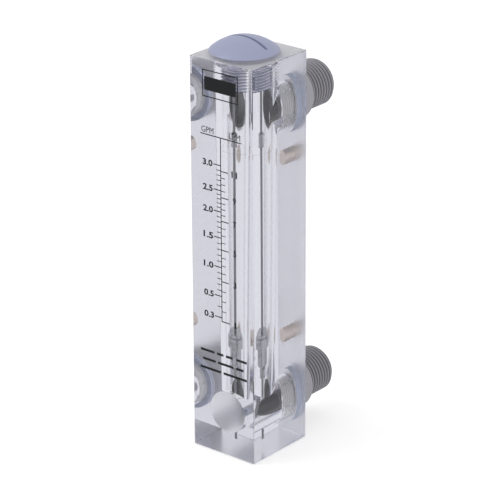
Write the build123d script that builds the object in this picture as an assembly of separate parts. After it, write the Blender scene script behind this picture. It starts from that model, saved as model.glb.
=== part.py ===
# Panel flow meter (rotameter): a clear acrylic block with a tapered flow tube bored up its middle,
# a turned steel float that rides on a guide rod in the tube, a domed screw plug on top,
# and two male pipe fittings screwed into the rear face.
# Millimetres. Origin: centre of the block's bottom face. +Z up, -Y is the face with the scale,
# +Y is the rear face with the fittings.
import os
from math import sqrt

from build123d import *

# Acrylic block
block_width = 34.0
block_depth = 36.0
edge_break = 0.4

# Ports, up the rear face: the inlet above the base, the outlet above the inlet and below the top
inlet_height = 19.2
port_pitch = 136.0
outlet_to_top = 24.8

# Flow tube: its axis lies behind the scale face, and it opens upwards by a slow taper
tube_setback = 15.5
tube_low_radius = 7.2
tube_high_radius = 9.0
tube_top_below_outlet = 15.7
chamber_radius = 9.2
channel_radius = 9.6
channel_front_wall = 5.0

# Male pipe fittings: a half inch parallel pipe thread, drawn as its plain outside diameter
pipe_thread_radius = 10.4775
pipe_wall = 2.9775
thread_clearance = 0.1
port_thread_depth = 12.5
collar_step = 2.1225
collar_length = 11.0
relief_depth = 1.1775
relief_length = 1.5
outer_thread_length = 16.0
inner_chamfer = 1.0
outer_chamfer = 1.4
mouth_chamfer = 0.8

# Port seals, square section rings in counterbores of the rear face
seal_pocket_width = 2.5225
seal_pocket_depth = 4.0
seal_side_gap = 0.1

# Top plug: its fine thread is drawn as its plain outside diameter
plug_thread_radius = 10.0
plug_thread_clearance = 0.05
plug_thread_length = 12.6
plug_chamfer = 0.8
cap_radius = 15.0
cap_rim_height = 0.5
cap_rim_edge = 0.25
cap_dome_rise = 5.8
cap_lift = 1.5
slot_width = 1.5
slot_floor_above_rim = 2.0

# Plug seal: an O-ring squeezed between the cap, the plug's neck and a cone in the block
plug_seal_section = 3.0
plug_seal_gap = 0.03

# Guide rod
rod_radius = 1.0
rod_foot_depth = 5.3
rod_fit = 0.03
rod_into_plug = 9.0
rod_end_gap = 0.5

# Float, turned from one bar: nose, body, reading collar and a low crown
float_nose_above_inlet = 17.7
float_nose_radius = 1.6
float_nose_length = 2.6
float_body_radius = 4.3
float_body_length = 8.8
float_collar_radius = 6.0
float_collar_length = 4.5
float_crown_radius = 5.0
float_crown_length = 1.7
float_crown_edge = 0.3
float_bore_clearance = 0.08

# Float stops, sleeves on the guide rod
stop_radius = 2.4
upper_stop_length = 6.0
lower_stop_length = 4.0
float_rest_gap = 0.05

# Brass threaded inserts for the panel screws, M5
insert_radius = 3.5
insert_length = 6.5
insert_thread_radius = 2.5
insert_side_gap = 0.05
lower_insert_above_inlet = 29.9
upper_insert_below_outlet = 23.5
insert_groove_depth = 0.3
insert_groove_width = 1.2

# Printed scale on the front face
print_thickness = 0.1
line_width = 0.45
spine_x = -0.4
header_left_x = -11.4
header_right_x = 10.9
header_above_scale = 12.4
major_tick_length = 4.0
minor_tick_length = 2.4
foot_tick_length = 4.6
gallon_step = 0.1
litre_step = 0.5

# Numbered marks of the scale: flow a minute, and the share of the float's travel at which it is read
gallon_marks = {0.3: 0.141, 0.5: 0.258, 1.0: 0.415, 1.5: 0.574, 2.0: 0.714, 2.5: 0.828, 3.0: 0.960}
litre_marks = {1.0: 0.121, 3.0: 0.340, 5.0: 0.511, 7.0: 0.666, 9.0: 0.792, 11.0: 0.931}

# Printed box above the scale
box_width = 19.3
box_height = 12.0
box_centre_x = -0.4
box_centre_below_top = 10.5
bar_width = 17.1
bar_height = 6.0

# Derived places
front_y = -block_depth / 2
rear_y = block_depth / 2
tube_y = front_y + tube_setback
outlet_height = inlet_height + port_pitch
block_height = outlet_height + outlet_to_top
tube_top_height = outlet_height - tube_top_below_outlet
port_heights = {"inlet": inlet_height, "outlet": outlet_height}
seal_seat_y = rear_y - seal_pocket_depth
seal_pocket_radius = pipe_thread_radius + seal_pocket_width
thread_end_y = rear_y - port_thread_depth
thread_bore_radius = pipe_thread_radius + thread_clearance
pipe_bore_radius = pipe_thread_radius - pipe_wall
plug_thread_end = block_height - plug_thread_length
cap_rim_base = block_height + cap_lift
cap_rim_top = cap_rim_base + cap_rim_height
plug_neck_radius = plug_thread_radius - plug_thread_clearance
rod_foot = inlet_height - channel_radius - rod_foot_depth
rod_top = plug_thread_end + rod_into_plug
float_nose_height = inlet_height + float_nose_above_inlet
float_body_base = float_nose_height + float_nose_length
float_collar_base = float_body_base + float_body_length
float_reading_height = float_collar_base + float_collar_length
float_top = float_reading_height + float_crown_length
float_bore_radius = rod_radius + float_bore_clearance
insert_heights = {
    "lower": inlet_height + lower_insert_above_inlet,
    "upper": outlet_height - upper_insert_below_outlet,
}
upper_stop_base = tube_top_height + float_rest_gap
lower_stop_base = float_nose_height - float_rest_gap - lower_stop_length
float_travel = upper_stop_base - float_top

os.makedirs("parts", exist_ok=True)


def turned(points):
    """A solid turned about the Z axis from (radius, height) points."""
    outline = Polyline([(radius, 0, height) for radius, height in points], close=True)
    return revolve(make_face(outline), Axis.Z)


def on_tube(solid):
    """Put a solid that was turned about Z on the flow tube's axis."""
    return Pos(0, tube_y, 0) * solid


def on_port(solid, height):
    """Point a solid that was turned about Z to the rear, on a port's axis, its z = 0 at y = 0."""
    return Pos(0, 0, height) * Rot(-90, 0, 0) * solid


def tube_radius_at(height):
    """Radius of the tapered tube at a height."""
    taper = (tube_high_radius - tube_low_radius) / (tube_top_height - inlet_height)
    return tube_low_radius + taper * (height - inlet_height)


def flow_tube_cut():
    """The vertical cut: rod hole, tapered tube, upper chamber, plug thread and seal cone."""
    seal_centre_radius = plug_neck_radius + plug_seal_gap + plug_seal_section / 2
    seal_centre_height = cap_rim_base - plug_seal_section / 2
    cone_reach = (plug_seal_section / 2 + plug_seal_gap) * sqrt(2)
    cone_top_radius = seal_centre_radius + cone_reach + (block_height - seal_centre_height)
    cone_depth = cone_top_radius - plug_thread_radius
    bore = turned([
        (0, rod_foot),
        (rod_radius + rod_fit, rod_foot),
        (rod_radius + rod_fit, inlet_height),
        (tube_radius_at(inlet_height), inlet_height),
        (tube_radius_at(tube_top_height), tube_top_height),
        (chamber_radius, tube_top_height),
        (chamber_radius, plug_thread_end),
        (plug_thread_radius, plug_thread_end),
        (plug_thread_radius, block_height - cone_depth),
        (cone_top_radius, block_height),
        (0, block_height),
    ])
    return on_tube(bore)


def port_cut(height, channel_end_y):
    """A port's cut: seal pocket, thread and the round channel that ends at channel_end_y."""
    cut = turned([
        (0, channel_end_y),
        (channel_radius, channel_end_y),
        (channel_radius, thread_end_y),
        (thread_bore_radius, thread_end_y),
        (thread_bore_radius, seal_seat_y),
        (seal_pocket_radius, seal_seat_y),
        (seal_pocket_radius, rear_y),
        (0, rear_y),
    ])
    return on_port(cut, height)


def insert_pocket(height):
    """The blind hole that a brass insert is pressed into."""
    pocket = Cylinder(
        insert_radius + insert_side_gap, insert_length, align=(Align.CENTER, Align.CENTER, Align.MAX)
    )
    return on_port(Pos(0, 0, rear_y) * pocket, height)


def body_block():
    """The clear block with its tube, ports and insert pockets."""
    block = Box(
        block_width, block_depth, block_height, align=(Align.CENTER, Align.CENTER, Align.MIN)
    )
    block = chamfer(block.edges(), edge_break)
    block -= flow_tube_cut()
    block -= port_cut(inlet_height, front_y + channel_front_wall)
    block -= port_cut(outlet_height, tube_y)
    for height in insert_heights.values():
        block -= insert_pocket(height)
    return block


def pipe_fitting(height):
    """A male fitting: inner thread, collar against the rear face, relief and outer thread."""
    inner_end_y = thread_end_y + thread_clearance
    collar_radius = pipe_thread_radius + collar_step
    collar_end_y = rear_y + collar_length
    relief_radius = pipe_thread_radius - relief_depth
    relief_end_y = collar_end_y + relief_length
    mouth_y = relief_end_y + outer_thread_length
    fitting = turned([
        (pipe_bore_radius, inner_end_y),
        (pipe_thread_radius - inner_chamfer, inner_end_y),
        (pipe_thread_radius, inner_end_y + inner_chamfer),
        (pipe_thread_radius, rear_y),
        (collar_radius, rear_y),
        (collar_radius, collar_end_y),
        (relief_radius, collar_end_y),
        (relief_radius, relief_end_y),
        (pipe_thread_radius, relief_end_y),
        (pipe_thread_radius, mouth_y - outer_chamfer),
        (pipe_thread_radius - outer_chamfer, mouth_y),
        (pipe_bore_radius + mouth_chamfer, mouth_y),
        (pipe_bore_radius, mouth_y - mouth_chamfer),
    ])
    return on_port(fitting, height)


def port_seal(height):
    """A square section ring that fills the seal pocket round the fitting's thread."""
    inner = pipe_thread_radius + seal_side_gap
    outer = seal_pocket_radius - seal_side_gap
    ring = turned([
        (inner, seal_seat_y),
        (outer, seal_seat_y),
        (outer, rear_y),
        (inner, rear_y),
    ])
    return on_port(ring, height)


def top_plug():
    """The plug: thread and neck, rim, flat-floored coin slot in a dome, and the rod's hole."""
    dome_radius = (cap_radius**2 + cap_dome_rise**2) / (2 * cap_dome_rise)
    dome_centre = cap_rim_top + cap_dome_rise - dome_radius
    shank = turned([
        (0, plug_thread_end),
        (plug_neck_radius - plug_chamfer, plug_thread_end),
        (plug_neck_radius, plug_thread_end + plug_chamfer),
        (plug_neck_radius, cap_rim_base),
        (cap_radius - cap_rim_edge, cap_rim_base),
        (cap_radius, cap_rim_base + cap_rim_edge),
        (cap_radius, cap_rim_top),
        (0, cap_rim_top),
    ])
    cap_height = cap_rim_top + cap_dome_rise
    cap_blank = Pos(0, 0, cap_rim_top) * Cylinder(
        cap_radius, cap_dome_rise, align=(Align.CENTER, Align.CENTER, Align.MIN)
    )
    plug = shank + (cap_blank & Pos(0, 0, dome_centre) * Sphere(dome_radius))
    slot_floor = cap_rim_top + slot_floor_above_rim
    plug -= Pos(0, 0, slot_floor) * Box(
        2 * cap_radius, slot_width, cap_height - slot_floor, align=(Align.CENTER, Align.CENTER, Align.MIN)
    )
    rod_hole = Cylinder(
        rod_radius + plug_thread_clearance,
        rod_into_plug + rod_end_gap,
        align=(Align.CENTER, Align.CENTER, Align.MIN),
    )
    plug -= Pos(0, 0, plug_thread_end) * rod_hole
    return on_tube(plug)


def plug_seal():
    """The O-ring under the cap's rim."""
    centre_radius = plug_neck_radius + plug_seal_gap + plug_seal_section / 2
    ring = Torus(centre_radius, plug_seal_section / 2)
    return on_tube(Pos(0, 0, cap_rim_base - plug_seal_section / 2) * ring)


def guide_rod():
    """The straight rod that stands in the block's foot hole and ends inside the plug."""
    rod = Cylinder(rod_radius, rod_top - rod_foot, align=(Align.CENTER, Align.CENTER, Align.MIN))
    return on_tube(Pos(0, 0, rod_foot) * rod)


def stop_sleeve(base, length):
    """A sleeve on the guide rod that stops the float."""
    return on_tube(turned([
        (rod_radius, base),
        (stop_radius, base),
        (stop_radius, base + length),
        (rod_radius, base + length),
    ]))


def flow_float():
    """The turned float, bored for the guide rod. Flow is read at the top of its collar."""
    return on_tube(turned([
        (float_bore_radius, float_nose_height),
        (float_nose_radius, float_nose_height),
        (float_body_radius, float_body_base),
        (float_body_radius, float_collar_base),
        (float_collar_radius, float_collar_base),
        (float_collar_radius, float_reading_height),
        (float_crown_radius, float_reading_height),
        (float_crown_radius, float_top - float_crown_edge),
        (float_crown_radius - float_crown_edge, float_top),
        (float_bore_radius, float_top),
    ]))


def threaded_insert(height):
    """A brass insert with two grip grooves round its outside."""
    groove_pitch = insert_length / 3
    profile = [(insert_thread_radius, 0), (insert_radius, 0)]
    for index in (1, 2):
        low = index * groove_pitch - insert_groove_width / 2
        profile += [
            (insert_radius, low),
            (insert_radius - insert_groove_depth, low),
            (insert_radius - insert_groove_depth, low + insert_groove_width),
            (insert_radius, low + insert_groove_width),
        ]
    profile += [(insert_radius, insert_length), (insert_thread_radius, insert_length)]
    return on_port(Pos(0, 0, rear_y - insert_length) * turned(profile), height)


def printed(left_x, right_x, low_z, high_z):
    """A flat printed patch on the front face."""
    patch = Box(right_x - left_x, print_thickness, high_z - low_z)
    return Pos((left_x + right_x) / 2, front_y - print_thickness / 2, (low_z + high_z) / 2) * patch


def mark_height(share):
    """Height on the scale at which a share of the float's travel is read."""
    return float_reading_height + float_travel * share


def tick(share, length):
    """One tick: to the left of the spine for a negative length, else to its right."""
    height = mark_height(share)
    low_x, high_x = sorted((spine_x, spine_x + length))
    return printed(low_x, high_x, height - line_width / 2, height + line_width / 2)


def graduations(numbered, step, side):
    """A row of ticks: long ones at the numbered flows, and short ones evenly between them."""
    flows = sorted(numbered)
    ticks = [tick(numbered[flow], side * major_tick_length) for flow in flows]
    for low, high in zip(flows, flows[1:]):
        parts = round((high - low) / step)
        spread = numbered[high] - numbered[low]
        for index in range(1, parts):
            ticks.append(tick(numbered[low] + spread * index / parts, side * minor_tick_length))
    return ticks


def scale_print():
    """The printed scale: spine, header line, and ticks in gallons on the left and litres on the right."""
    foot_share = min(litre_marks.values())
    header_height = mark_height(max(gallon_marks.values())) + header_above_scale
    half_line = line_width / 2
    foot_height = mark_height(foot_share)
    marks = printed(spine_x - half_line, spine_x + half_line, foot_height - half_line, header_height)
    marks += printed(header_left_x, header_right_x, header_height - half_line, header_height + half_line)
    for mark in graduations(gallon_marks, gallon_step, -1) + graduations(litre_marks, litre_step, 1):
        marks += mark
    marks += tick(foot_share, foot_tick_length)
    return marks


def header_print():
    """The printed box above the scale, with a solid bar across it."""
    centre = block_height - box_centre_below_top

    def panel(width, height):
        left = box_centre_x - width / 2
        low = centre - height / 2
        return printed(left, left + width, low, low + height)

    frame = panel(box_width, box_height) - panel(box_width - 2 * line_width, box_height - 2 * line_width)
    return frame + panel(bar_width, bar_height)


nodes = {
    "body_block": body_block(),
    "scale_print": scale_print(),
    "header_print": header_print(),
    "top_plug": top_plug(),
    "plug_seal": plug_seal(),
    "guide_rod": guide_rod(),
    "upper_float_stop": stop_sleeve(upper_stop_base, upper_stop_length),
    "lower_float_stop": stop_sleeve(lower_stop_base, lower_stop_length),
    "float": flow_float(),
}
for port, height in port_heights.items():
    nodes[port + "_fitting"] = pipe_fitting(height)
    nodes[port + "_seal"] = port_seal(height)
for place, height in insert_heights.items():
    nodes[place + "_insert"] = threaded_insert(height)

for name, solid in nodes.items():
    export_step(solid, os.path.join("parts", name + ".step"))
    print(name, "solids", len(solid.solids()), "volume", round(solid.volume, 1))
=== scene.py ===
import math

import bpy
from bpy.props import FloatProperty, FloatVectorProperty, PointerProperty
from mathutils import Matrix, Vector


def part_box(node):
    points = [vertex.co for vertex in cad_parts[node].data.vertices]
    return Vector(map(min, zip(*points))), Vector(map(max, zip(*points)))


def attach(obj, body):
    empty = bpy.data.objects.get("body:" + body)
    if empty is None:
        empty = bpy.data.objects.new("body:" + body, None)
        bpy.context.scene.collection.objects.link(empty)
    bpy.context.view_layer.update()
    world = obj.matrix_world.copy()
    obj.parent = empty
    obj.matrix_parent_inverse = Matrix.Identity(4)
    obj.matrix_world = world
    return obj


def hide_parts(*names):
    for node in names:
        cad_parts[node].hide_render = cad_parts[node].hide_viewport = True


bl_info = {
    "name": "Panel flow meter",
    "version": (1, 0, 0),
    "blender": (4, 5, 0),
    "location": "View3D > Sidebar > Flow meter",
    "description": "Dresses a clear block flow meter: acrylic, threads, float, print and fittings",
    "category": "Object",
}

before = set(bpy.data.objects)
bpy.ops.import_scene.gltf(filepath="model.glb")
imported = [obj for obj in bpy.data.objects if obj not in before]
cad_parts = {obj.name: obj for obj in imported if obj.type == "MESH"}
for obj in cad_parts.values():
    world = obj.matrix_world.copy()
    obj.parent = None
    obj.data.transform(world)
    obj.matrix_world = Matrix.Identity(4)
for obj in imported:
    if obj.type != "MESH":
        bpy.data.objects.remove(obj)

MM = 0.001
BLOCK_LOW, BLOCK_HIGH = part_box("body_block")
PLUG_LOW, PLUG_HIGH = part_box("top_plug")
FLOAT_LOW, FLOAT_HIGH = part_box("float")
ROD_LOW, ROD_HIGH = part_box("guide_rod")
SEAL_LOW, SEAL_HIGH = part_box("plug_seal")
PORT_SEAL_LOW, PORT_SEAL_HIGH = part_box("inlet_seal")
FITTING_LOW, FITTING_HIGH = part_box("inlet_fitting")
INSERT_LOW, INSERT_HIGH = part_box("lower_insert")
SCALE_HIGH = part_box("scale_print")[1]
HEADER_LOW, HEADER_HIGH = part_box("header_print")

FRONT = BLOCK_LOW.y
REAR = BLOCK_HIGH.y
TOP = BLOCK_HIGH.z
TUBE_Y = (ROD_LOW.y + ROD_HIGH.y) / 2
# Faces round a turned piece, steps in a turn of a thread, and how near two vertices are one, in metres
ROUND_STEPS = 160
CUTTER_STEPS = 192
SLIM_STEPS = 64
INSERT_STEPS = 96
THREAD_STEPS = 96
WELD = 2e-6


def middle(node, axis):
    """The middle of a CAD node along an axis, 0 to 2."""
    low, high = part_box(node)
    return (low[axis] + high[axis]) / 2


INLET = middle("inlet_seal", 2)
OUTLET = middle("outlet_seal", 2)
INSERTS = {"lower": middle("lower_insert", 2), "upper": middle("upper_insert", 2)}
PORTS = {"inlet": INLET, "outlet": OUTLET}


# Selecting and shaping


def deselect():
    """Go to object mode with nothing selected."""
    if bpy.context.mode != "OBJECT":
        bpy.ops.object.mode_set(mode="OBJECT")
    bpy.ops.object.select_all(action="DESELECT")


def only(piece):
    """Select one piece and make it active."""
    deselect()
    piece.select_set(True)
    bpy.context.view_layer.objects.active = piece


def named(name):
    """Name the active piece and its mesh."""
    piece = bpy.context.object
    piece.name = name
    piece.data.name = name
    return piece


def settle(piece):
    """Put a piece's place, turn and scale into its mesh."""
    only(piece)
    bpy.ops.object.transform_apply(location=True, rotation=True, scale=True)


def trace(points):
    """Draw a line through (radius, height) points in millimetres from one vertex; stays in edit mode."""
    deselect()
    bpy.ops.mesh.primitive_plane_add(size=MM)
    bpy.ops.object.mode_set(mode="EDIT")
    bpy.ops.mesh.select_all(action="SELECT")
    bpy.ops.mesh.merge(type="CENTER")
    path = [Vector((radius, 0, height)) * MM for radius, height in points]
    bpy.ops.transform.translate(value=path[0])
    for start, end in zip(path, path[1:]):
        bpy.ops.mesh.extrude_region_move(TRANSFORM_OT_translate={"value": end - start})
    bpy.ops.mesh.select_all(action="SELECT")


def weld_outwards():
    """Merge doubles and point all faces outwards, in edit mode, then leave it."""
    bpy.ops.mesh.select_all(action="SELECT")
    bpy.ops.mesh.remove_doubles(threshold=WELD)
    bpy.ops.mesh.normals_make_consistent(inside=False)
    bpy.ops.object.mode_set(mode="OBJECT")


def smooth(piece, degrees=28):
    """Smooth shading that keeps edges sharper than an angle."""
    only(piece)
    bpy.ops.object.shade_smooth_by_angle(angle=math.radians(degrees))


def turned(name, points, steps=ROUND_STEPS):
    """A solid turned about Z from (radius, height) points; the line closes on itself or on the axis."""
    trace(points)
    bpy.ops.mesh.spin(steps=steps, angle=math.tau, center=(0, 0, 0), axis=(0, 0, 1))
    weld_outwards()
    return named(name)


def threaded(name, root, crest, pitch, low, high, flat):
    """A right-hand threaded bar about Z with flat ends, in millimetres; flat is the crest's share of the
    pitch."""
    flank = (1 - 2 * flat) / 2 * pitch
    rise = flat * pitch / 2
    # Both ends are cut a fifth of a step past a row of vertices, never through one.
    step = pitch / THREAD_STEPS
    high = low + round((high - low) / step) * step
    trace([
        (root, 0),
        (root, rise),
        (crest, rise + flank),
        (crest, rise + flank + flat * pitch),
        (root, rise + 2 * flank + flat * pitch),
        (root, pitch),
    ])
    turns = math.ceil((high - low) / pitch) + 3
    bpy.ops.mesh.screw(steps=THREAD_STEPS, turns=turns, center=(0, 0, 0), axis=(0, 0, -1))
    bpy.ops.mesh.select_all(action="SELECT")
    bpy.ops.mesh.remove_doubles(threshold=WELD)
    bpy.ops.object.mode_set(mode="OBJECT")
    piece = named(name)
    heights = [vertex.co.z for vertex in piece.data.vertices]
    piece.location.z = (low - pitch * 1.5 - step / 5) * MM - min(heights)
    settle(piece)
    bpy.ops.object.mode_set(mode="EDIT")
    for height, ends in ((low, {"clear_inner": True}), (high, {"clear_outer": True})):
        bpy.ops.mesh.select_all(action="SELECT")
        bpy.ops.mesh.bisect(plane_co=(0, 0, height * MM), plane_no=(0, 0, 1), **ends)
    bpy.ops.mesh.select_all(action="SELECT")
    bpy.ops.mesh.remove_doubles(threshold=WELD)
    bpy.ops.mesh.select_all(action="DESELECT")
    bpy.ops.mesh.select_non_manifold(
        use_wire=False, use_multi_face=False, use_non_contiguous=False, use_verts=False,
    )
    bpy.ops.mesh.edge_face_add()
    weld_outwards()
    return piece


def boolean(piece, tools, operation):
    """Cut a solid with all its tools in one step, or keep what it has in common with them; the tools are
    used up."""
    pool = bpy.data.collections.new("tools")
    bpy.context.scene.collection.children.link(pool)
    for tool in tools:
        pool.objects.link(tool)
    only(piece)
    modifier = piece.modifiers.new(operation.lower(), "BOOLEAN")
    modifier.operation = operation
    modifier.solver = "EXACT"
    modifier.operand_type = "COLLECTION"
    modifier.collection = pool
    bpy.ops.object.modifier_apply(modifier=modifier.name)
    for tool in tools:
        bpy.data.objects.remove(tool)
    bpy.data.collections.remove(pool)


def on_tube(piece):
    """Move a piece turned about Z onto the flow tube's axis."""
    piece.location.y = TUBE_Y
    settle(piece)
    return piece


def on_port(piece, height):
    """Turn a piece made about Z to the rear and lift it to a height; its z becomes y."""
    piece.rotation_euler.x = -math.pi / 2
    piece.location.z = height
    settle(piece)
    return piece


def box(name, low, high):
    """A plain block between two corners in metres, as a start for shaping."""
    low, high = Vector(low), Vector(high)
    deselect()
    bpy.ops.mesh.primitive_cube_add(size=1, location=(low + high) / 2, scale=high - low)
    piece = named(name)
    settle(piece)
    return piece


def bevel(piece, width, degrees=30):
    """Break the edges of a piece that are sharper than an angle, width in millimetres."""
    only(piece)
    modifier = piece.modifiers.new("bevel", "BEVEL")
    modifier.width = width * MM
    modifier.segments = 1
    modifier.limit_method = "ANGLE"
    modifier.angle_limit = math.radians(degrees)
    bpy.ops.object.modifier_apply(modifier=modifier.name)


def joined(name, pieces):
    """Join pieces into one mesh."""
    deselect()
    for piece in pieces:
        piece.select_set(True)
    bpy.context.view_layer.objects.active = pieces[0]
    bpy.ops.object.join()
    return named(name)


def dress(piece, body, nodes, material):
    """Give a finished piece its material, tie it to its CAD body and hide the CAD nodes that it
    replaces.
    """
    piece.data.materials.clear()
    piece.data.materials.append(material)
    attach(piece, body)
    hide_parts(*nodes)


# Colours and materials


def linear(code):
    """An sRGB hex colour as linear red, green, blue and alpha."""
    parts = [int(code[index:index + 2], 16) / 255 for index in (1, 3, 5)]
    return [c / 12.92 if c <= 0.04045 else ((c + 0.055) / 1.055) ** 2.4 for c in parts] + [1.0]


def add_node(tree, kind, inputs=None, **settings):
    """Add a node; inputs maps a socket's name or number to a value or to another node's output."""
    node = tree.nodes.new(kind)
    for name, value in settings.items():
        setattr(node, name, value)
    for key, value in (inputs or {}).items():
        if isinstance(value, bpy.types.NodeSocket):
            tree.links.new(value, node.inputs[key])
        else:
            node.inputs[key].default_value = value
    return node


def surface(name, **sockets):
    """A new material with one Principled shader; returns the material, its tree and the shader."""
    material = bpy.data.materials.new(name)
    material.use_nodes = True
    tree = material.node_tree
    shader = tree.nodes["Principled BSDF"]
    for key, value in sockets.items():
        shader.inputs[key.replace("_", " ")].default_value = value
    return material, tree, shader


def fine_bump(tree, shader, scale, strength, depth, detail=3.0, stretch=(1, 1, 1)):
    """Noise on Object coordinates, as a small bump; scale is in cycles a metre, depth in metres."""
    place = add_node(tree, "ShaderNodeTexCoord")
    mapping = add_node(tree, "ShaderNodeMapping", {"Vector": place.outputs["Object"], "Scale": stretch})
    noise = add_node(tree, "ShaderNodeTexNoise", {
        "Vector": mapping.outputs["Vector"], "Scale": scale, "Detail": detail,
    })
    bump = add_node(tree, "ShaderNodeBump", {
        "Height": noise.outputs["Fac"], "Strength": strength, "Distance": depth,
    })
    tree.links.new(bump.outputs["Normal"], shader.inputs["Normal"])


def near(tree, axis, value, reach):
    """One where a coordinate is within reach of a value, else nought."""
    compare = add_node(tree, "ShaderNodeMath", {0: axis, 1: value, 2: reach}, operation="COMPARE")
    return compare.outputs[0]


def both(tree, first, second):
    """One where both masks are one."""
    return add_node(tree, "ShaderNodeMath", {0: first, 1: second}, operation="MULTIPLY").outputs[0]


def either(tree, first, second):
    """The larger of two masks."""
    return add_node(tree, "ShaderNodeMath", {0: first, 1: second}, operation="MAXIMUM").outputs[0]


def axis_distance(tree, height):
    """Distance from a port's or an insert's axis, which runs along Y at a height in metres."""
    place = add_node(tree, "ShaderNodeTexCoord")
    centred = add_node(tree, "ShaderNodeVectorMath", {
        0: place.outputs["Object"], 1: (0.0, 0.0, height),
    }, operation="SUBTRACT")
    across = add_node(tree, "ShaderNodeVectorMath", {
        0: centred.outputs[0], 1: (1.0, 0.0, 1.0),
    }, operation="MULTIPLY")
    distance = add_node(tree, "ShaderNodeVectorMath", {0: across.outputs[0]}, operation="LENGTH")
    return distance.outputs["Value"]


def cast_acrylic():
    """Cast acrylic: the front and the sides are polished glass clear. The rear, the base, the seats of
    the seals and the end of the inlet bore keep the pale frost of the cutter, the bores a faint haze,
    and the top is milky."""
    look = bpy.context.scene.meter_block
    material, tree, shader = surface(
        "Cast acrylic, polished and face milled",
        Base_Color=[*look.tint, 1.0], IOR=look.ior,
    )
    skin = SKIN * MM
    place = add_node(tree, "ShaderNodeTexCoord")
    parts = add_node(tree, "ShaderNodeSeparateXYZ", {0: place.outputs["Object"]})
    x, y, z = (parts.outputs[axis] for axis in "XYZ")
    inside = near(tree, x, 0.0, BLOCK_HIGH.x - MM)
    rear = near(tree, y, REAR, skin)
    top = near(tree, z, TOP, skin)
    base = near(tree, z, 0.0, skin)
    faces = either(tree, near(tree, y, PORT_SEAL_LOW.y, skin), near(tree, y, CHANNEL_FRONT * MM, skin))
    milled = either(tree, rear, both(tree, inside, faces))
    frost = either(tree, both(tree, milled, look.frost), both(tree, top, look.saw))
    frost = either(tree, frost, both(tree, base, look.base))
    bored = both(tree, inside, near(tree, y, 0.0, REAR - MM))
    haze = both(tree, bored, look.haze)
    tree.links.new(either(tree, frost, haze), shader.inputs["Roughness"])
    clear = add_node(tree, "ShaderNodeMath", {
        0: top, 1: -look.milk, 2: 1.0,
    }, operation="MULTIPLY_ADD")
    tree.links.new(clear.outputs[0], shader.inputs["Transmission Weight"])
    depth = add_node(tree, "ShaderNodeVolumeAbsorption", {
        "Color": [*look.depth, 1.0], "Density": look.density,
    })
    tree.links.new(depth.outputs[0], tree.nodes["Material Output"].inputs["Volume"])
    return material


def screen_ink():
    """Black screen printing ink: flat and dense."""
    return surface(
        "Screen ink, printed",
        Base_Color=linear("#1C1D1E"), Roughness=0.7, Specular_IOR_Level=0.25,
    )[0]


def cap_plastic():
    """Glass filled nylon, moulded: blue-grey with a soft satin skin."""
    material, tree, shader = surface(
        "Filled nylon, moulded satin",
        Base_Color=[*bpy.context.scene.meter_fittings.cap, 1.0], Roughness=0.38, IOR=1.53,
    )
    fine_bump(tree, shader, 1 / (0.35 * MM), 0.12, 0.02 * MM)
    return material


def fitting_plastic(port):
    """PVC, injection moulded: mid grey and dull with a faint grain. Down in the grooves of the port's
    thread the colour is darker, as painted shade where the grooves shadow each other."""
    look = bpy.context.scene.meter_fittings
    material, tree, shader = surface(
        f"PVC, injection moulded, {port}", Base_Color=[*look.pipe, 1.0], Roughness=0.45, IOR=1.53,
    )
    # Painted shade: the colour falls to the groove share at the root of the thread and rises to full at
    # its crest.
    painted_shade = add_node(tree, "ShaderNodeMapRange", {
        "Value": axis_distance(tree, PORTS[port]),
        "From Min": PIPE_ROOT * MM, "From Max": PIPE_CREST * MM,
        "To Min": look.groove, "To Max": 1.0,
    })
    tone = add_node(tree, "ShaderNodeVectorMath", {
        0: tuple(look.pipe), "Scale": painted_shade.outputs[0],
    }, operation="SCALE")
    tree.links.new(tone.outputs[0], shader.inputs["Base Color"])
    fine_bump(tree, shader, 1 / (0.5 * MM), 0.15, 0.02 * MM)
    return material


def sealing_tape():
    """PTFE tape, wound on the inner thread and pressed into it: soft white."""
    return surface("PTFE tape, wound", Base_Color=linear("#F6F5F4"), Roughness=0.5)[0]


def seal_rubber():
    """Nitrile rubber, moulded: smooth blue-grey."""
    return surface(
        "Nitrile rubber, moulded",
        Base_Color=[*bpy.context.scene.meter_fittings.seal, 1.0], Roughness=0.5, IOR=1.52,
    )[0]


def clear_silicone():
    """Silicone rubber, moulded: milky and half clear."""
    return surface(
        "Silicone rubber, moulded",
        Base_Color=linear("#DCDCE2"), Roughness=0.35, IOR=1.41, Transmission_Weight=0.35,
    )[0]


def turned_steel():
    """Stainless steel, fine turned: the tool leaves rings too fine to count, drawn here at 0.25 mm."""
    material, tree, shader = surface(
        "Stainless steel, fine turned", Base_Color=[*bpy.context.scene.meter_float.steel, 1.0],
        Metallic=1.0, Roughness=0.22,
    )
    fine_bump(tree, shader, 1 / (0.25 * MM), 0.1, 0.01 * MM, detail=1.0, stretch=(0.02, 0.02, 1))
    return material


def drawn_steel():
    """Stainless steel, cold drawn: a grey rod with a plain soft shine."""
    return surface(
        "Stainless steel, cold drawn", Base_Color=[*bpy.context.scene.meter_float.rod, 1.0],
        Metallic=1.0, Roughness=0.3,
    )[0]


def natural_nylon():
    """Nylon, turned from natural rod: cloudy white, and lets much of the light through."""
    return surface(
        "Nylon, turned natural",
        Base_Color=linear("#EEEEF0"), Roughness=0.3, IOR=1.53, Transmission_Weight=0.75,
    )[0]


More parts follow.
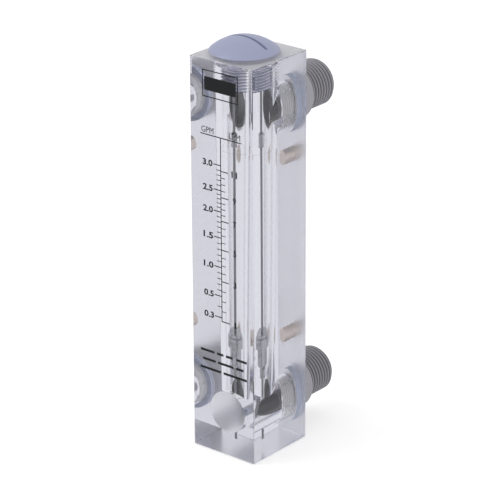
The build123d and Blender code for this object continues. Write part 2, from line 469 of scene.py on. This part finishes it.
def pressed_brass(insert):
    """Brass, turned: yellow at the mouth and in the bore. Where it is pressed into the acrylic it is
    painted near white, as painted light in place of the light that the acrylic keeps from it."""
    material, tree, shader = surface(
        f"Brass, turned and pressed in, {insert}", Metallic=1.0, Roughness=0.5,
    )
    bright = add_node(tree, "ShaderNodeMath", {
        0: axis_distance(tree, INSERTS[insert]), 1: INSERT_MOUTH * MM,
    }, operation="LESS_THAN")
    place = add_node(tree, "ShaderNodeTexCoord")
    parts = add_node(tree, "ShaderNodeSeparateXYZ", {0: place.outputs["Object"]})
    open_end = near(tree, parts.outputs["Y"], REAR, SKIN * MM)
    bore = add_node(tree, "ShaderNodeMath", {
        0: parts.outputs["Y"], 1: INSERT_LOW.y + 0.2 * MM,
    }, operation="GREATER_THAN")
    plain_brass = either(tree, open_end, both(tree, bright.outputs[0], bore.outputs[0]))
    # Painted light: the outside gets a near white copy of the brass colour, while the open end and the
    # bore keep the yellow.
    tone = add_node(tree, "ShaderNodeMix", {
        0: plain_brass, 6: linear("#FBF0E4"), 7: linear("#C9A66B"),
    }, data_type="RGBA")
    tree.links.new(tone.outputs[2], shader.inputs["Base Color"])
    return material


# What a user may change


class MeterBlockSettings(bpy.types.PropertyGroup):
    """Clear block"""

    ior: FloatProperty(name="Refraction", description="Index of refraction of the acrylic", default=1.49)
    tint: FloatVectorProperty(
        name="Tint", description="Colour of light that passes a face of the acrylic",
        default=(0.99, 0.99, 0.99), subtype="COLOR", min=0, max=1,
    )
    depth: FloatVectorProperty(
        name="Depth colour", description="Colour that the acrylic takes on in great depth",
        default=(0.11, 0.11, 0.31), subtype="COLOR", min=0, max=1,
    )
    density: FloatProperty(
        name="Density", description="How fast the acrylic drinks light, per metre", default=4.0,
    )
    frost: FloatProperty(
        name="Frost", description="Roughness of the milled faces", default=0.4,
        subtype="FACTOR", min=0, max=1,
    )
    base: FloatProperty(
        name="Base", description="Roughness of the base", default=0.3,
        subtype="FACTOR", min=0, max=1,
    )
    saw: FloatProperty(
        name="Saw marks", description="Roughness of the sawn top", default=0.6,
        subtype="FACTOR", min=0, max=1,
    )
    milk: FloatProperty(
        name="Milk", description="Share of light that the sawn top scatters", default=0.42,
        subtype="FACTOR", min=0, max=1,
    )
    haze: FloatProperty(
        name="Haze", description="Roughness of the bored holes", default=0.05,
        subtype="FACTOR", min=0, max=1,
    )
    edge: FloatProperty(
        name="Edge", description="Width of the block's broken edges", default=0.25 * MM, unit="LENGTH",
    )


class MeterFittingSettings(bpy.types.PropertyGroup):
    """Plug, fittings and seals"""

    pipe: FloatVectorProperty(
        name="Pipe fittings", description="Colour of the rear fittings",
        default=tuple(linear("#AAA8AF")[:3]), subtype="COLOR", min=0, max=1,
    )
    # Painted shade: the share of the fittings' colour that the grooves of the port's thread keep,
    # darkest at the root.
    groove: FloatProperty(
        name="Groove", description="Share of the fittings' colour that is left in the grooves",
        default=0.15, subtype="FACTOR", min=0, max=1,
    )
    cap: FloatVectorProperty(
        name="Top plug", description="Colour of the top plug",
        default=tuple(linear("#A3A8C4")[:3]), subtype="COLOR", min=0, max=1,
    )
    seal: FloatVectorProperty(
        name="Port seals", description="Colour of the seals round the fittings",
        default=tuple(linear("#CDD5E8")[:3]), subtype="COLOR", min=0, max=1,
    )
    pipe_pitch: FloatProperty(
        name="Pipe thread pitch", description="Spacing of the pipe threads", default=1.814 * MM,
        unit="LENGTH",
    )
    fine_pitch: FloatProperty(
        name="Fine thread pitch", description="Spacing of the threads in the block", default=1.337 * MM,
        unit="LENGTH",
    )


class MeterFloatSettings(bpy.types.PropertyGroup):
    """Float and rod"""

    steel: FloatVectorProperty(
        name="Steel", description="Colour of the float",
        default=tuple(linear("#B4B4B6")[:3]), subtype="COLOR", min=0, max=1,
    )
    rod: FloatVectorProperty(
        name="Rod", description="Colour of the guide rod",
        default=tuple(linear("#7C7C80")[:3]), subtype="COLOR", min=0, max=1,
    )


class MeterPrintSettings(bpy.types.PropertyGroup):
    """Printed scale"""

    digit: FloatProperty(
        name="Digits", description="Height of the scale's numbers", default=2.9 * MM, unit="LENGTH",
    )
    letter: FloatProperty(
        name="Letters", description="Height of the unit letters", default=2.7 * MM, unit="LENGTH",
    )
    ink: FloatProperty(
        name="Ink thickness", description="Thickness of the printed ink", default=0.04 * MM,
        unit="LENGTH",
    )


class MeterStageSettings(bpy.types.PropertyGroup):
    """Studio"""

    key: FloatProperty(
        name="Key lamp", description="Strength of the large lamp on the left, in watts", default=6.0,
        unit="POWER",
    )
    fill: FloatProperty(
        name="Fill lamp", description="Strength of the lamp on the right, in watts", default=2.5,
        unit="POWER",
    )
    room: FloatProperty(
        name="Room light", description="Strength of the light from all round", default=0.7,
    )
    studio: FloatVectorProperty(
        name="Studio", description="Colour of the surroundings that clear plastic and metal show",
        default=(0.8, 0.8, 0.855), subtype="COLOR", min=0, max=1,
    )
    floor: FloatProperty(name="Floor", description="Width of the floor", default=6.0, unit="LENGTH")


# Sizes in millimetres that the CAD boxes don't show

# Radii at the foot and the top of the threads, and the air between a thread and its hole
PLUG_ROOT = 9.14
PLUG_CREST = 10.0
PIPE_ROOT = 9.32
PORT_ROOT = 9.62
PIPE_CREST = 10.4775
THREAD_AIR = 0.08
# Seals and inserts are pressed so hard against the walls of their pockets that no air is left between.
CONTACT = 0.04
# A thread's end face stands back this much from the face of the piece that it belongs to, and this much
# air lies before a seal.
FACE_STEP = 0.03
# A cutter reaches this far past the face that it opens, or into the next cutter.
OVERCUT = 1
# A material finds a face of a piece by its place, to within this much.
SKIN = 0.02
# Air between the ink and the face that it is printed on
INK_AIR = 0.02
# The cone under the cap is this much wider at the top than the cap's ring.
CONE_LIP = 0.66
ROD_AIR = 0.06
DOME_RISE = 5.8
SLOT_HALF = 0.75
TUBE_LOW_RADIUS = 7.2
TUBE_HIGH_RADIUS = 9.0
CHAMBER_RADIUS = 9.2
CHANNEL_RADIUS = 9.6
CHANNEL_FRONT = -13.0
TUBE_TOP = 139.5
PIPE_BORE = 7.5
COLLAR_LENGTH = 11
INSERT_MOUTH = 2.5
# The float: the radii of its bore, body and crown, and the heights of its body and collar. It is read at
# the top of the collar, which the crown stands above.
FLOAT_BORE = 1.08
FLOAT_RADIUS = 4.3
CROWN_RADIUS = 5.0
BODY_HEIGHT = 11.4
COLLAR_HEIGHT = 4.5
CROWN_HEIGHT = 1.7


def block_cutters():
    """The solids that are cut out of the block, one after another."""
    look = bpy.context.scene.meter_fittings
    top = TOP / MM
    thread_low = PLUG_LOW.z / MM
    seal_radius = (SEAL_HIGH.x - SEAL_LOW.x) / 2 / MM
    cone_top = seal_radius + CONE_LIP
    cone_depth = cone_top - PLUG_CREST
    rod_hole = (ROD_HIGH.x - ROD_LOW.x) / 2 / MM + ROD_AIR
    inlet = INLET / MM
    yield on_tube(turned("tube_cutter", [
        (0, ROD_LOW.z / MM),
        (rod_hole, ROD_LOW.z / MM),
        (rod_hole, inlet),
        (TUBE_LOW_RADIUS, inlet),
        (TUBE_HIGH_RADIUS, TUBE_TOP),
        (CHAMBER_RADIUS, TUBE_TOP),
        (CHAMBER_RADIUS, thread_low + OVERCUT),
        (0, thread_low + OVERCUT),
    ], steps=CUTTER_STEPS))
    yield on_tube(threaded(
        "plug_thread_cutter", PLUG_ROOT + THREAD_AIR, PLUG_CREST + THREAD_AIR,
        look.fine_pitch / MM, thread_low, top - 1, flat=0.2,
    ))
    yield on_tube(turned("cone_cutter", [
        (0, top - cone_depth),
        (PLUG_CREST, top - cone_depth),
        (cone_top, top),
        (cone_top, top + OVERCUT),
        (0, top + OVERCUT),
    ], steps=CUTTER_STEPS))
    rear = REAR / MM
    seat = PORT_SEAL_LOW.y / MM
    seal_pocket = (PORT_SEAL_HIGH.x - PORT_SEAL_LOW.x) / 2 / MM - CONTACT
    thread_end = FITTING_LOW.y / MM
    for port, height in PORTS.items():
        inner = CHANNEL_FRONT if port == "inlet" else TUBE_Y / MM
        yield on_port(turned(port + "_channel_cutter", [
            (0, inner),
            (CHANNEL_RADIUS, inner),
            (CHANNEL_RADIUS, seat + OVERCUT),
            (0, seat + OVERCUT),
        ], steps=CUTTER_STEPS), height)
        yield on_port(threaded(
            port + "_thread_cutter", PORT_ROOT + THREAD_AIR, PIPE_CREST + THREAD_AIR,
            look.fine_pitch / MM, thread_end - 0.05, seat + 0.5, flat=0.2,
        ), height)
        yield on_port(turned(port + "_pocket_cutter", [
            (0, seat),
            (seal_pocket, seat),
            (seal_pocket, rear + OVERCUT),
            (0, rear + OVERCUT),
        ], steps=CUTTER_STEPS), height)
    insert_radius = (INSERT_HIGH.x - INSERT_LOW.x) / 2 / MM - CONTACT
    insert_front = INSERT_LOW.y / MM + CONTACT
    for place, height in INSERTS.items():
        yield on_port(turned(place + "_pocket_cutter", [
            (0, insert_front),
            (insert_radius, insert_front),
            (insert_radius, rear + OVERCUT),
            (0, rear + OVERCUT),
        ], steps=INSERT_STEPS), height)


class METER_OT_block(bpy.types.Operator):
    """Build the clear block with its tube, ports, threads and pockets"""

    bl_idname = "meter.block"
    bl_label = "Acrylic block"

    def execute(self, context):
        block = box("acrylic_block", BLOCK_LOW, BLOCK_HIGH)
        bevel(block, context.scene.meter_block.edge / MM)
        boolean(block, list(block_cutters()), "DIFFERENCE")
        smooth(block)
        dress(block, "body", ["body_block"], cast_acrylic())
        return {"FINISHED"}


class METER_OT_plug(bpy.types.Operator):
    """Build the domed top plug with its thread and coin slot, and the ring under its rim"""

    bl_idname = "meter.plug"
    bl_label = "Top plug"

    def execute(self, context):
        low = PLUG_LOW.z / MM
        seal_radius = (SEAL_HIGH.z - SEAL_LOW.z) / 2 / MM
        rim_base = SEAL_HIGH.z / MM
        cap_radius = (PLUG_HIGH.x - PLUG_LOW.x) / 2 / MM
        rim_top = rim_base + 0.5
        neck = PLUG_CREST - 0.05
        dome_radius = (cap_radius**2 + DOME_RISE**2) / (2 * DOME_RISE)
        profile = [
            (0, rim_base - 6),
            (neck - 0.9, rim_base - 6),
            (neck - 0.9, rim_base - 5.2),
            (neck, rim_base - 4.4),
            (neck, rim_base),
            (cap_radius - 0.35, rim_base),
            (cap_radius - 0.1, rim_base + 0.08),
            (cap_radius, rim_base + 0.25),
            (cap_radius, rim_top - 0.2),
        ]
        arcs = 16
        apex = rim_top + DOME_RISE
        for step in range(1, arcs + 1):
            radius = (cap_radius - 0.08) * math.cos(step / arcs * math.pi / 2) if step < arcs else 0
            profile.append((radius, apex - dome_radius + math.sqrt(dome_radius**2 - radius**2)))
        plug = turned("top_plug_cap", profile)
        thread = threaded(
            "plug_thread", PLUG_ROOT, neck, context.scene.meter_fittings.fine_pitch / MM,
            low, rim_base - 4.8, flat=0.14,
        )
        slot = box(
            "slot_tool", (-2 * cap_radius * MM, -SLOT_HALF * MM, (rim_top + 2) * MM),
            (2 * cap_radius * MM, SLOT_HALF * MM, 1),
        )
        boolean(plug, [slot], "DIFFERENCE")
        bevel(plug, 0.12, degrees=50)
        plug = joined("top_plug_cap", [plug, thread])
        smooth(plug, 35)
        on_tube(plug)
        dress(plug, "top_plug", ["top_plug"], cap_plastic())

        ring_radius = (SEAL_HIGH.x - SEAL_LOW.x) / 2 / MM - seal_radius
        deselect()
        bpy.ops.mesh.primitive_torus_add(
            major_segments=ROUND_STEPS, minor_segments=32,
            location=(0, TUBE_Y, SEAL_HIGH.z - seal_radius * MM),
            major_radius=ring_radius * MM, minor_radius=seal_radius * MM,
        )
        ring = named("plug_ring")
        settle(ring)
        smooth(ring)
        dress(ring, "plug_seal", ["plug_seal"], clear_silicone())
        return {"FINISHED"}


class METER_OT_guide(bpy.types.Operator):
    """Build the guide rod and the two stops on it"""

    bl_idname = "meter.guide"
    bl_label = "Guide rod and stops"

    def execute(self, context):
        radius = (ROD_HIGH.x - ROD_LOW.x) / 2 / MM
        low = ROD_LOW.z / MM
        high = ROD_HIGH.z / MM
        rod = turned("steel_guide_rod", [
            (0, low), (radius - 0.2, low), (radius, low + 0.2),
            (radius, high - 0.2), (radius - 0.2, high), (0, high),
        ], steps=SLIM_STEPS)
        smooth(rod)
        on_tube(rod)
        dress(rod, "body", ["guide_rod"], drawn_steel())
        nylon = natural_nylon()
        for place in ("upper", "lower"):
            node = place + "_float_stop"
            stop_low, stop_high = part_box(node)
            outer = (stop_high.x - stop_low.x) / 2 / MM
            base = stop_low.z / MM
            top = stop_high.z / MM
            stop = turned(place + "_stop_sleeve", [
                (radius + 0.02, base), (outer - 0.3, base), (outer, base + 0.3),
                (outer, top - 0.3), (outer - 0.3, top), (radius + 0.02, top), (radius + 0.02, base),
            ], steps=SLIM_STEPS)
            smooth(stop)
            on_tube(stop)
            dress(stop, "body", [node], nylon)
        return {"FINISHED"}


class METER_OT_float(bpy.types.Operator):
    """Build the turned float"""

    bl_idname = "meter.float"
    bl_label = "Float"

    def execute(self, context):
        low = FLOAT_LOW.z / MM
        high = FLOAT_HIGH.z / MM
        widest = (FLOAT_HIGH.x - FLOAT_LOW.x) / 2 / MM
        body = FLOAT_RADIUS
        collar = low + BODY_HEIGHT
        reading = collar + COLLAR_HEIGHT
        piece = turned("steel_float", [
            (FLOAT_BORE, low), (1.6, low), (body - 0.2, low + 2.5), (body, low + 2.9),
            (body, collar - 0.25), (body + 0.25, collar), (widest - 0.2, collar), (widest, collar + 0.2),
            (widest, reading - 0.2), (widest - 0.2, reading), (CROWN_RADIUS, reading),
            (CROWN_RADIUS, high - 0.3), (CROWN_RADIUS - 0.3, high), (FLOAT_BORE, high),
            (FLOAT_BORE, low),
        ])
        smooth(piece)
        on_tube(piece)
        dress(piece, "float", ["float"], turned_steel())
        return {"FINISHED"}


class METER_OT_fittings(bpy.types.Operator):
    """Build the two threaded pipe fittings and the seals round them"""

    bl_idname = "meter.fittings"
    bl_label = "Pipe fittings"

    def execute(self, context):
        tape = sealing_tape()
        rubber = seal_rubber()
        rear = REAR / MM
        inner_end = FITTING_LOW.y / MM
        mouth = FITTING_HIGH.y / MM
        collar = (FITTING_HIGH.x - FITTING_LOW.x) / 2 / MM
        collar_end = rear + COLLAR_LENGTH
        look = context.scene.meter_fittings
        for port, height in PORTS.items():
            core = turned(port + "_pipe_fitting", [
                (PIPE_BORE, inner_end),
                (PORT_ROOT - 0.1, inner_end),
                (PORT_ROOT - 0.1, rear - 1),
                (PIPE_CREST, rear - 0.6),
                (PIPE_CREST, rear + 0.05),
                (collar - 0.3, rear + 0.05),
                (collar, rear + 0.35),
                (collar, collar_end - 0.4),
                (collar - 0.4, collar_end),
                (PIPE_ROOT, collar_end),
                (PIPE_ROOT - 0.1, collar_end + 1.5),
                (PIPE_ROOT - 0.1, mouth),
                (PIPE_BORE + 0.8, mouth),
                (PIPE_BORE, mouth - 0.8),
                (PIPE_BORE, inner_end),
            ])
            for part, low, high, root, pitch, lead in (
                ("inner", inner_end, rear - 0.8, PORT_ROOT, look.fine_pitch / MM, 0.8),
                ("outer", collar_end + 1.2, mouth, PIPE_ROOT, look.pipe_pitch / MM, 1.4),
            ):
                thread = threaded(part + "_thread", root, PIPE_CREST, pitch, low, high, flat=0.2)
                low += FACE_STEP
                high -= FACE_STEP
                shape = turned(part + "_shape", [
                    (PIPE_BORE + 1, low),
                    (root + 0.1, low),
                    (PIPE_CREST + 0.1, low + lead),
                    (PIPE_CREST + 0.1, high - lead),
                    (root + 0.1, high),
                    (PIPE_BORE + 1, high),
                    (PIPE_BORE + 1, low),
                ])
                boolean(thread, [shape], "INTERSECT")
                if part == "inner":
                    thread.name = thread.data.name = port + "_thread_tape"
                    smooth(thread, 30)
                    on_port(thread, height)
                    dress(thread, "body", [port + "_fitting"], tape)
                else:
                    core = joined(port + "_pipe_fitting", [core, thread])
            smooth(core, 30)
            on_port(core, height)
            dress(core, "body", [port + "_fitting"], fitting_plastic(port))

            seat = PORT_SEAL_LOW.y / MM + FACE_STEP
            outer = (PORT_SEAL_HIGH.x - PORT_SEAL_LOW.x) / 2 / MM
            inner = PIPE_CREST + 0.1
            ring = turned(port + "_rubber_ring", [
                (inner, seat), (outer - 0.3, seat), (outer, seat + 0.3), (outer, rear - 0.3),
                (outer - 0.3, rear), (inner, rear), (inner, seat),
            ])
            smooth(ring)
            on_port(ring, height)
            dress(ring, "body", [port + "_seal"], rubber)
        return {"FINISHED"}


class METER_OT_inserts(bpy.types.Operator):
    """Build the two brass inserts for the panel screws"""

    bl_idname = "meter.inserts"
    bl_label = "Panel inserts"

    def execute(self, context):
        low = INSERT_LOW.y / MM
        high = INSERT_HIGH.y / MM
        radius = (INSERT_HIGH.x - INSERT_LOW.x) / 2 / MM
        for place, height in INSERTS.items():
            piece = turned(place + "_brass_insert", [
                (0, low), (radius, low), (radius, high), (INSERT_MOUTH, high),
                (INSERT_MOUTH - 0.4, high - 0.4), (INSERT_MOUTH - 0.4, low + 0.5), (0, low + 0.5),
            ], steps=INSERT_STEPS)
            smooth(piece)
            on_port(piece, height)
            dress(piece, "body", [place + "_insert"], pressed_brass(place))
        return {"FINISHED"}


def ink_patch(left, right, low, high):
    """A flat printed rectangle just off the front face, in millimetres."""
    ink = bpy.context.scene.meter_print.ink
    back = FRONT - INK_AIR * MM
    return box("patch", (left * MM, back - ink, low * MM), (right * MM, back, high * MM))


def ink_text(words, centre_x, centre_z, height, width, weight=0.0):
    """Printed characters, centred on a point, with a height and a total width in millimetres; the weight
    thickens the strokes, as a share of the type size."""
    deselect()
    bpy.ops.object.text_add()
    text = bpy.context.object
    text.data.body = words
    text.data.align_x = "CENTER"
    text.data.extrude = 0.5
    text.data.offset = weight
    text.data.resolution_u = 3
    bpy.ops.object.convert(target="MESH")
    piece = named("word")
    xs = [vertex.co.x for vertex in piece.data.vertices]
    ys = [vertex.co.y for vertex in piece.data.vertices]
    wide = width * MM / (max(xs) - min(xs))
    tall = height * MM / (max(ys) - min(ys))
    centre = Vector(((max(xs) + min(xs)) / 2, (max(ys) + min(ys)) / 2, 0))
    ink = bpy.context.scene.meter_print.ink
    back = FRONT - INK_AIR * MM - ink / 2
    upright = Matrix.Rotation(math.pi / 2, 4, "X")
    sized = Matrix.Diagonal((wide, tall, ink, 1))
    place = Matrix.Translation((centre_x * MM, back, centre_z * MM))
    piece.matrix_world = place @ upright @ sized @ Matrix.Translation(-centre)
    settle(piece)
    return piece


# Sizes of the print in millimetres: half the width of the bold and the fine lines, the middle of the
# spine, and the length of the marks
BOLD = 0.225
FINE = 0.17
SPINE = -0.4
LONG_MARK = 4.0
SHORT_MARK = 2.4
FOOT_MARK = 4.6
# The dashes under the scale: the height of each row, and the left and right end of each dash
DASHES = {
    47.2: ((-12.6, -4.8), (-3.4, 0.2), (1.6, 5.4), (7.4, 13.2)),
    43.0: ((-11.4, -4.2), (-3.0, 5.6), (7.4, 11.4)),
    38.8: ((-12.8, -1.2), (0.2, 13.2)),
}
DASH_HALF = 0.55
# The header's frame and the bar in it
FRAME_LINE = 0.45
BAR_INSET = 1.1
BAR_HALF = 3.0

# Numbered marks: flow a minute, and the share of the float's travel at which it is read
GALLONS = {0.3: 0.141, 0.5: 0.258, 1.0: 0.415, 1.5: 0.574, 2.0: 0.714, 2.5: 0.828, 3.0: 0.960}
LITRES = {1: 0.121, 3: 0.340, 5: 0.511, 7: 0.666, 9: 0.792, 11: 0.931}


def mark_height(share):
    """Height in millimetres at which a share of the float's travel is read."""
    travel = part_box("upper_float_stop")[0].z - FLOAT_HIGH.z
    return (FLOAT_HIGH.z + travel * share) / MM - CROWN_HEIGHT


def shares(marks, step):
    """The shares of travel of the small marks, evenly spread between the numbered ones."""
    flows = sorted(marks)
    for low, high in zip(flows, flows[1:]):
        parts = round((high - low) / step)
        for index in range(1, parts):
            yield marks[low] + (marks[high] - marks[low]) * index / parts


class METER_OT_print(bpy.types.Operator):
    """Print the scale, its numbers, the unit letters, the box above and the dashes below"""

    bl_idname = "meter.print"
    bl_label = "Printed scale"

    def execute(self, context):
        look = context.scene.meter_print
        ink = screen_ink()
        header_z = SCALE_HIGH.z / MM - BOLD
        foot_z = mark_height(LITRES[1])
        parts = [
            ink_patch(SPINE - BOLD, SPINE + BOLD, foot_z - BOLD, header_z),
            ink_patch(-11.4, 10.9, header_z - BOLD, header_z + BOLD),
            ink_patch(SPINE, SPINE + FOOT_MARK, foot_z - BOLD, foot_z + BOLD),
        ]
        digit = look.digit / MM
        for gallons, share in GALLONS.items():
            z = mark_height(share)
            parts.append(ink_patch(SPINE - LONG_MARK, SPINE, z - BOLD, z + BOLD))
            parts.append(ink_text(f"{gallons:.1f}", -7.6, z, digit, 5.4, 0.03))
        for litres, share in LITRES.items():
            z = mark_height(share)
            parts.append(ink_patch(SPINE, SPINE + LONG_MARK, z - BOLD, z + BOLD))
            width = 3.0 if litres > 9 else 0.9 if litres == 1 else 1.7
            parts.append(ink_text(str(litres), 7.0, z, digit, width, 0.025))
        for share in shares(GALLONS, 0.1):
            z = mark_height(share)
            parts.append(ink_patch(SPINE - SHORT_MARK, SPINE, z - FINE, z + FINE))
        for share in shares(LITRES, 0.5):
            z = mark_height(share)
            parts.append(ink_patch(SPINE, SPINE + SHORT_MARK, z - FINE, z + FINE))
        letter = look.letter / MM
        letter_z = header_z + 0.8 + letter / 2
        parts.append(ink_text("GPM", -7.5, letter_z, letter, 6.6))
        parts.append(ink_text("LPM", 7.3, letter_z, letter, 6.0))
        for z, dashes in DASHES.items():
            for left, right in dashes:
                parts.append(ink_patch(left, right, z - DASH_HALF, z + DASH_HALF))
        scale = joined("printed_scale", parts)
        dress(scale, "body", ["scale_print"], ink)

        left, right = HEADER_LOW.x / MM, HEADER_HIGH.x / MM
        low, high = HEADER_LOW.z / MM, HEADER_HIGH.z / MM
        centre = (low + high) / 2
        header = joined("printed_header", [
            ink_patch(left, left + FRAME_LINE, low, high),
            ink_patch(right - FRAME_LINE, right, low, high),
            ink_patch(left, right, low, low + FRAME_LINE),
            ink_patch(left, right, high - FRAME_LINE, high),
            ink_patch(left + BAR_INSET, right - BAR_INSET, centre - BAR_HALF, centre + BAR_HALF),
        ])
        dress(header, "body", ["header_print"], ink)
        return {"FINISHED"}


# The direction of the darker side of the room, and its share of the light
DARK_SIDE = (0.637, -0.771, 0.0)
DARK_SHARE = 0.85
# What the floor adds for the camera, so that it reads as white
FLOOR_LIFT = 0.45
# The block stands on the floor with no glue, so a hair of air, in millimetres, keeps its base a mirror.
FLOOR_AIR = 0.3
LAMP_SIZE = 0.9
LAMP_AIM = (0, 0, 0.09)
# The photograph's own viewpoint, found from the block's corners, in metres, degrees and millimetres
CAMERA_PLACE = (0.713894, -0.863279, 0.549932)
CAMERA_TARGET = (0.000265, 0.000219, 0.090626)
CAMERA_ROLL = -0.2896
CAMERA_LENS = 202.71
# Light crosses many clear faces here, so it may bounce often.
CLEAR_BOUNCES = 28
MIRROR_BOUNCES = 20


def make_world(look):
    """White surroundings for the camera, a grey-white studio for clear plastic and metal to show, and a
    plain room light on the rest."""
    world = bpy.data.worlds.new("Soft white room")
    bpy.context.scene.world = world
    world.use_nodes = True
    tree = world.node_tree
    tree.nodes.clear()
    path = add_node(tree, "ShaderNodeLightPath")
    place = add_node(tree, "ShaderNodeTexCoord")
    # The side of the room in front of the object is a little darker than the white sweep behind it.
    towards = add_node(tree, "ShaderNodeVectorMath", {
        0: place.outputs["Generated"], 1: DARK_SIDE,
    }, operation="DOT_PRODUCT")
    shade = add_node(tree, "ShaderNodeMapRange", {
        "Value": towards.outputs["Value"], "From Min": -0.1, "From Max": 0.9,
        "To Min": 1.0, "To Max": DARK_SHARE,
    }, interpolation_type="SMOOTHSTEP")
    mirror = add_node(tree, "ShaderNodeMath", {
        0: path.outputs["Is Glossy Ray"], 1: path.outputs["Is Transmission Ray"],
    }, operation="MAXIMUM")
    lit = add_node(tree, "ShaderNodeMix", {
        0: mirror.outputs[0], 2: look.room, 3: shade.outputs[0],
    })
    tone = add_node(tree, "ShaderNodeMix", {
        0: mirror.outputs[0], 6: (1, 1, 1, 1), 7: [*look.studio, 1.0],
    }, data_type="RGBA")
    seen = add_node(tree, "ShaderNodeMix", {
        0: path.outputs["Is Camera Ray"], 2: lit.outputs[0], 3: 1.0,
    })
    back = add_node(tree, "ShaderNodeBackground", {
        "Color": tone.outputs[2], "Strength": seen.outputs[0],
    })
    add_node(tree, "ShaderNodeOutputWorld", {"Surface": back.outputs[0]})


def floor_material(look):
    """Matt white floor that reads as white to the camera and keeps the object's shadow. Clear plastic
    and metal see it in the plain tone of the studio."""
    material = bpy.data.materials.new("Painted floor, matt white")
    material.use_nodes = True
    tree = material.node_tree
    tree.nodes.clear()
    path = add_node(tree, "ShaderNodeLightPath")
    seen = either(tree, path.outputs["Is Glossy Ray"], path.outputs["Is Transmission Ray"])
    lift = add_node(tree, "ShaderNodeMath", {
        0: path.outputs["Is Camera Ray"], 1: FLOOR_LIFT,
    }, operation="MULTIPLY")
    matt = add_node(tree, "ShaderNodeBsdfDiffuse", {"Color": (0.8, 0.8, 0.8, 1)})
    glow = add_node(tree, "ShaderNodeEmission", {"Color": (1, 1, 1, 1), "Strength": lift.outputs[0]})
    lifted = add_node(tree, "ShaderNodeAddShader", {0: matt.outputs[0], 1: glow.outputs[0]})
    plain = add_node(tree, "ShaderNodeEmission", {"Color": [*look.studio, 1.0]})
    chosen = add_node(tree, "ShaderNodeMixShader", {0: seen, 1: lifted.outputs[0], 2: plain.outputs[0]})
    add_node(tree, "ShaderNodeOutputMaterial", {"Surface": chosen.outputs[0]})
    return material


def add_lamp(name, place, power):
    """A large square lamp that points at the object."""
    data = bpy.data.lights.new(name, "AREA")
    data.shape = "SQUARE"
    data.size = LAMP_SIZE
    data.energy = power
    lamp = bpy.data.objects.new(name, data)
    bpy.context.scene.collection.objects.link(lamp)
    lamp.visible_transmission = False
    lamp.location = place
    lamp.rotation_euler = (Vector(LAMP_AIM) - Vector(place)).to_track_quat("-Z", "Y").to_euler()


class METER_OT_stage(bpy.types.Operator):
    """Set up the white floor, the soft lamps and the camera"""

    bl_idname = "meter.stage"
    bl_label = "Studio"

    def execute(self, context):
        look = context.scene.meter_stage
        make_world(look)
        deselect()
        bpy.ops.mesh.primitive_plane_add(size=look.floor, location=(0, 0, -FLOOR_AIR * MM))
        floor = named("floor")
        floor.data.materials.append(floor_material(look))
        add_lamp("key_lamp", (-0.9, -0.9, 1.3), look.key)
        add_lamp("fill_lamp", (1.4, -0.3, 0.8), look.fill)

        data = bpy.data.cameras.new("camera")
        camera = bpy.data.objects.new("camera", data)
        context.scene.collection.objects.link(camera)
        context.scene.camera = camera
        place = Vector(CAMERA_PLACE)
        roll = math.radians(CAMERA_ROLL)
        forward = (Vector(CAMERA_TARGET) - place).normalized()
        level = forward.cross(Vector((0, 0, 1))).normalized()
        upright = level.cross(forward)
        right = level * math.cos(roll) + upright * math.sin(roll)
        up = upright * math.cos(roll) - level * math.sin(roll)
        camera.matrix_world = Matrix((
            (right.x, up.x, -forward.x, place.x),
            (right.y, up.y, -forward.y, place.y),
            (right.z, up.z, -forward.z, place.z),
            (0, 0, 0, 1),
        ))
        data.sensor_width = 36
        data.lens = CAMERA_LENS
        data.clip_start = 0.01
        data.clip_end = 50

        scene = context.scene
        scene.view_settings.view_transform = "Standard"
        scene.cycles.max_bounces = CLEAR_BOUNCES
        scene.cycles.transmission_bounces = CLEAR_BOUNCES
        scene.cycles.glossy_bounces = MIRROR_BOUNCES
        return {"FINISHED"}


OPERATORS = (
    METER_OT_block,
    METER_OT_plug,
    METER_OT_guide,
    METER_OT_float,
    METER_OT_fittings,
    METER_OT_inserts,
    METER_OT_print,
    METER_OT_stage,
)

SETTINGS = {
    "meter_block": MeterBlockSettings,
    "meter_fittings": MeterFittingSettings,
    "meter_float": MeterFloatSettings,
    "meter_print": MeterPrintSettings,
    "meter_stage": MeterStageSettings,
}


class VIEW3D_PT_meter(bpy.types.Panel):
    """Lists the pieces of the flow meter and their settings"""

    bl_label = "Flow meter"
    bl_space_type = "VIEW_3D"
    bl_region_type = "UI"
    bl_category = "Flow meter"

    def draw(self, context):
        for operator in OPERATORS:
            self.layout.operator(operator.bl_idname)
        for name, group in SETTINGS.items():
            settings = getattr(context.scene, name)
            for prop in group.__annotations__:
                self.layout.prop(settings, prop)


def register():
    for name, group in SETTINGS.items():
        bpy.utils.register_class(group)
        setattr(bpy.types.Scene, name, PointerProperty(type=group))
    for operator in OPERATORS:
        bpy.utils.register_class(operator)
    bpy.utils.register_class(VIEW3D_PT_meter)


def unregister():
    bpy.utils.unregister_class(VIEW3D_PT_meter)
    for operator in reversed(OPERATORS):
        bpy.utils.unregister_class(operator)
    for name, group in SETTINGS.items():
        delattr(bpy.types.Scene, name)
        bpy.utils.unregister_class(group)


def main():
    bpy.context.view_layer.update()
    register()
    for name in ("block", "plug", "guide", "float", "fittings", "inserts", "print", "stage"):
        getattr(bpy.ops.meter, name)()


if __name__ == "__main__":
    main()
